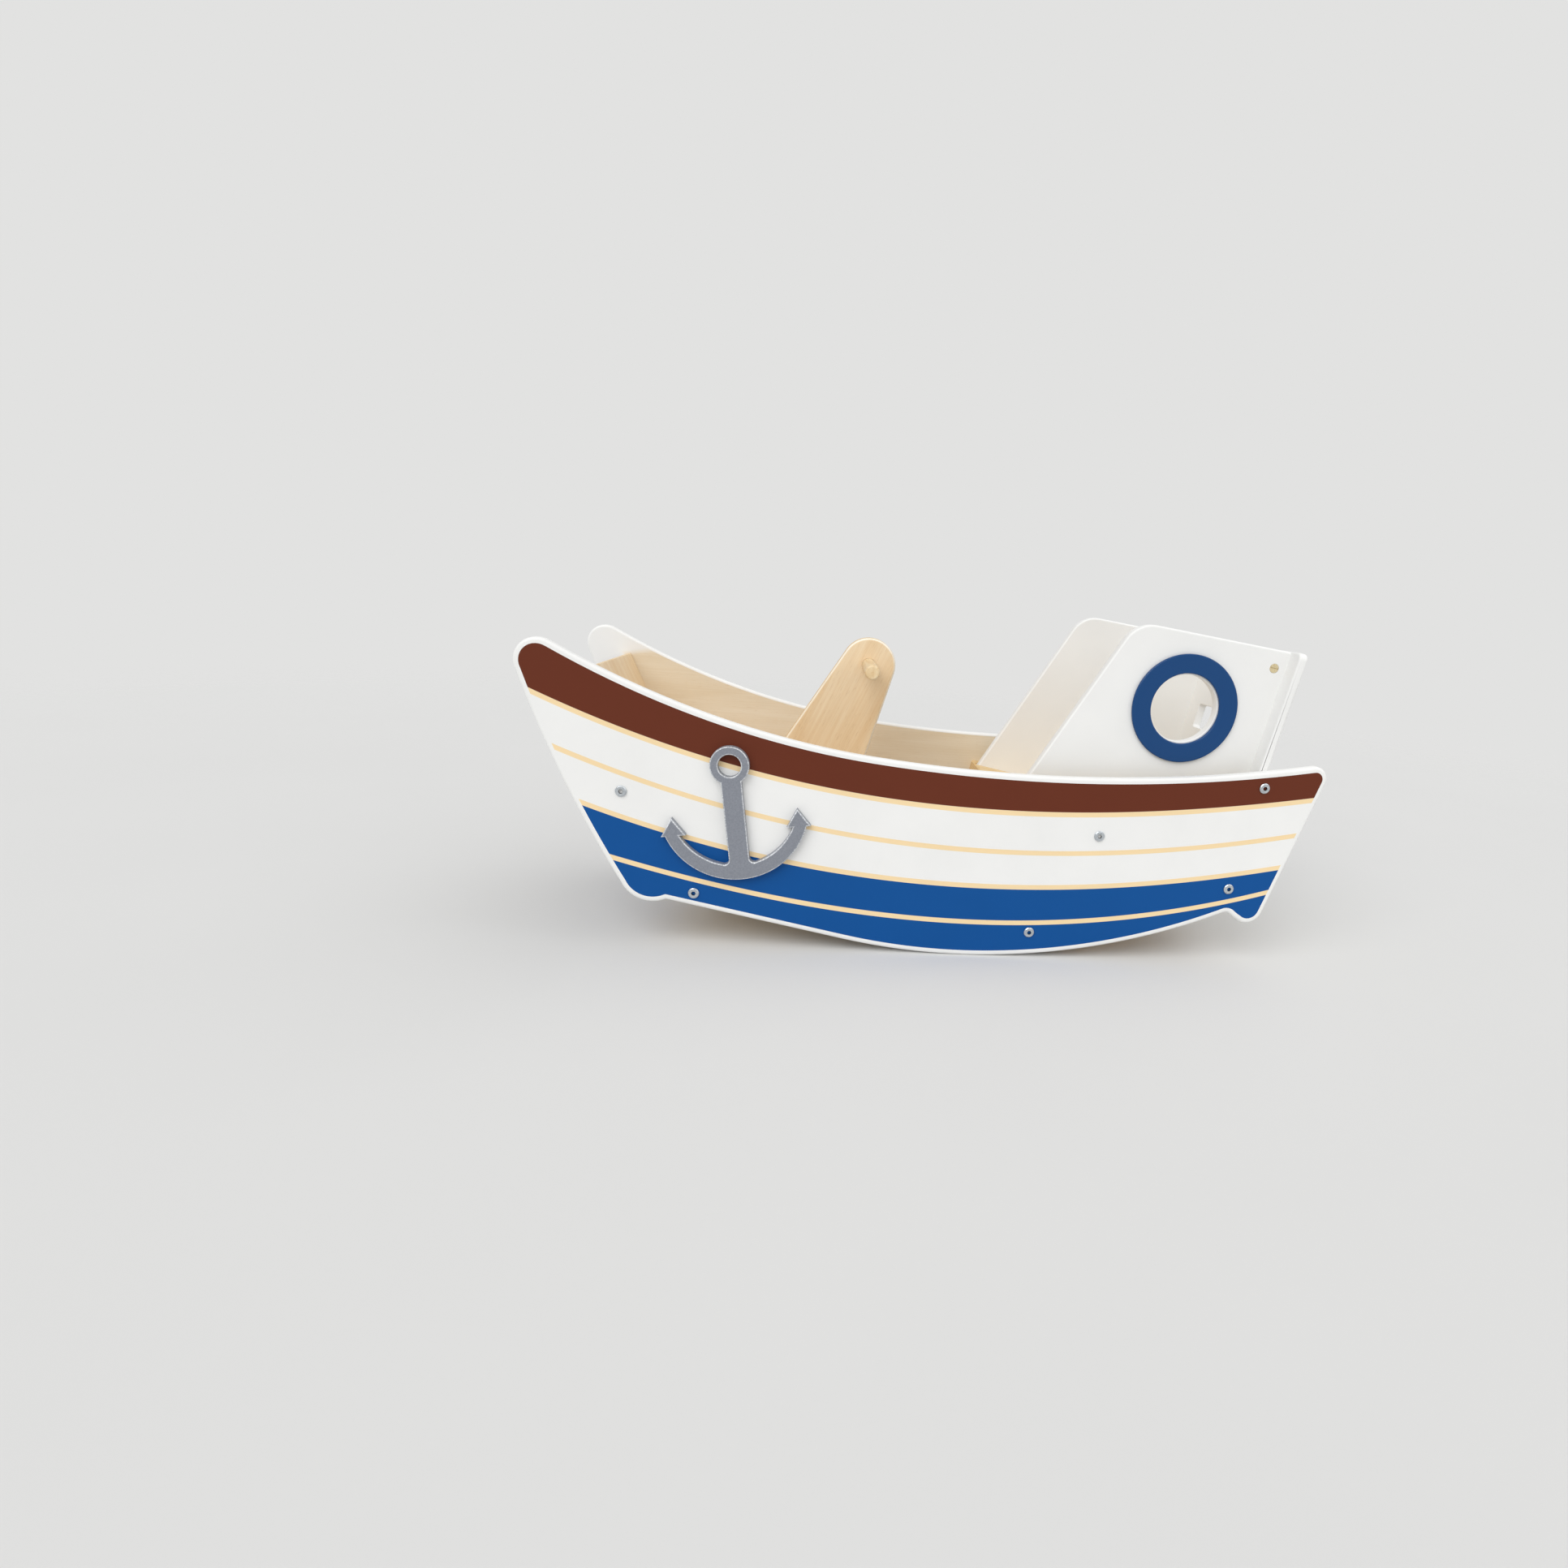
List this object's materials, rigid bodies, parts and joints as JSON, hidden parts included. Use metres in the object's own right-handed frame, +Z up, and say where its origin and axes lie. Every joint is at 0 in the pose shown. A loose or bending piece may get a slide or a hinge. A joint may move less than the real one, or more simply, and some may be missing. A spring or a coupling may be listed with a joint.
{
  "type": "rocking boat toy",
  "caption": "Painted plywood rocking boat for a small child, with curved rocker sides, a seat in an open cabin with portholes, and a post with a cross bar to hold.",
  "frame": {"origin": "on the floor, under the middle of the boat's length and width", "axes": "+X to the stern, +Z up, so that -Y is the port side with the anchor"},
  "size_m": [0.8499, 0.292, 0.3684],
  "materials": {
    "hull_paint": "satin paint, printed stripes outside",
    "white_paint": "satin paint",
    "birch": "clear satin lacquer",
    "blue_paint": "gloss paint",
    "grey_paint": "satin paint",
    "red_paint": "gloss paint, white bands",
    "steel": "zinc plated",
    "zinc": "yellow zinc plated",
    "beech": "plain"
  },
  "bodies": {
    "root": {"port_side_panel": "hull_paint", "starboard_side_panel": "hull_paint", "bow_panel": "birch", "stern_panel": "white_paint", "port_cabin_wall": "white_paint", "starboard_cabin_wall": "white_paint", "seat_board": "birch", "floor_board": "birch", "handle_post": "birch", "handle_bar": "beech", "port_porthole_ring": "blue_paint", "starboard_porthole_ring": "blue_paint", "anchor": "grey_paint", "life_ring": "red_paint", "port_side_bolts": "steel", "starboard_side_bolts": "steel", "cabin_bolts": "steel", "post_bolts": "steel", "bow_barrel_nuts": "zinc", "floor_barrel_nuts": "zinc", "seat_barrel_nuts": "zinc", "stern_barrel_nuts": "zinc", "cabin_barrel_nuts": "zinc", "post_barrel_nuts": "zinc", "bow_dowels": "beech", "seat_dowels": "beech", "anchor_pins": "beech", "life_ring_pins": "beech"}
  },
  "joints": []
}
